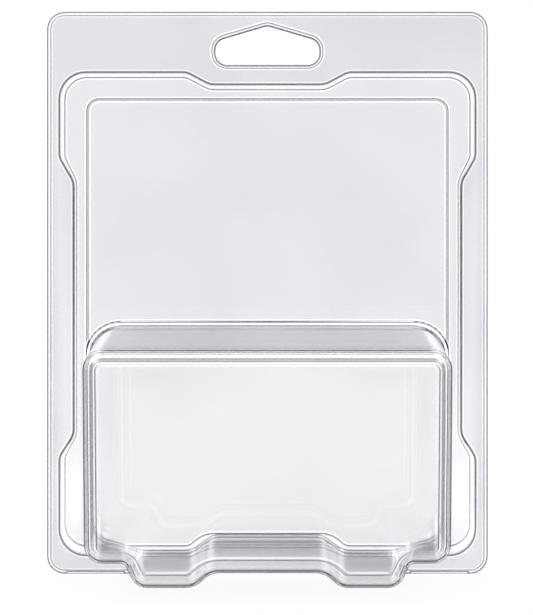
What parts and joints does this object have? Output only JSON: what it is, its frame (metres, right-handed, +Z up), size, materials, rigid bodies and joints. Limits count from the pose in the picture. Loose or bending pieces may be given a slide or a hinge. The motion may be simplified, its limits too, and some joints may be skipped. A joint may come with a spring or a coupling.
{
  "type": "blister protector case",
  "caption": "Clear thermoformed clamshell with a hang hole, a stepped flange and a deep box bubble on two feet; the back sheet folds open on a hinge along the bottom edge.",
  "frame": {"origin": "middle of the closed case's footprint, on the level of its lowest edge, the fold of the hinge", "axes": "+X to the right seen from the front, +Z up towards the hang hole, -Y out of the bubble's front face"},
  "size_m": [0.1408, 0.0522, 0.1801],
  "materials": {
    "front_film": "clear, glossy",
    "back_film": "clear, glossy"
  },
  "bodies": {
    "front": {"front_shell": "front_film"},
    "back": {"back_shell": "back_film"}
  },
  "joints": [
    {"name": "back_fold", "type": "hinge", "parent": "front", "child": "back", "pos_m": [0, 0.02243, 0.00045], "axis": [-1, 0, 0], "range_deg": [0, 180]}
  ]
}
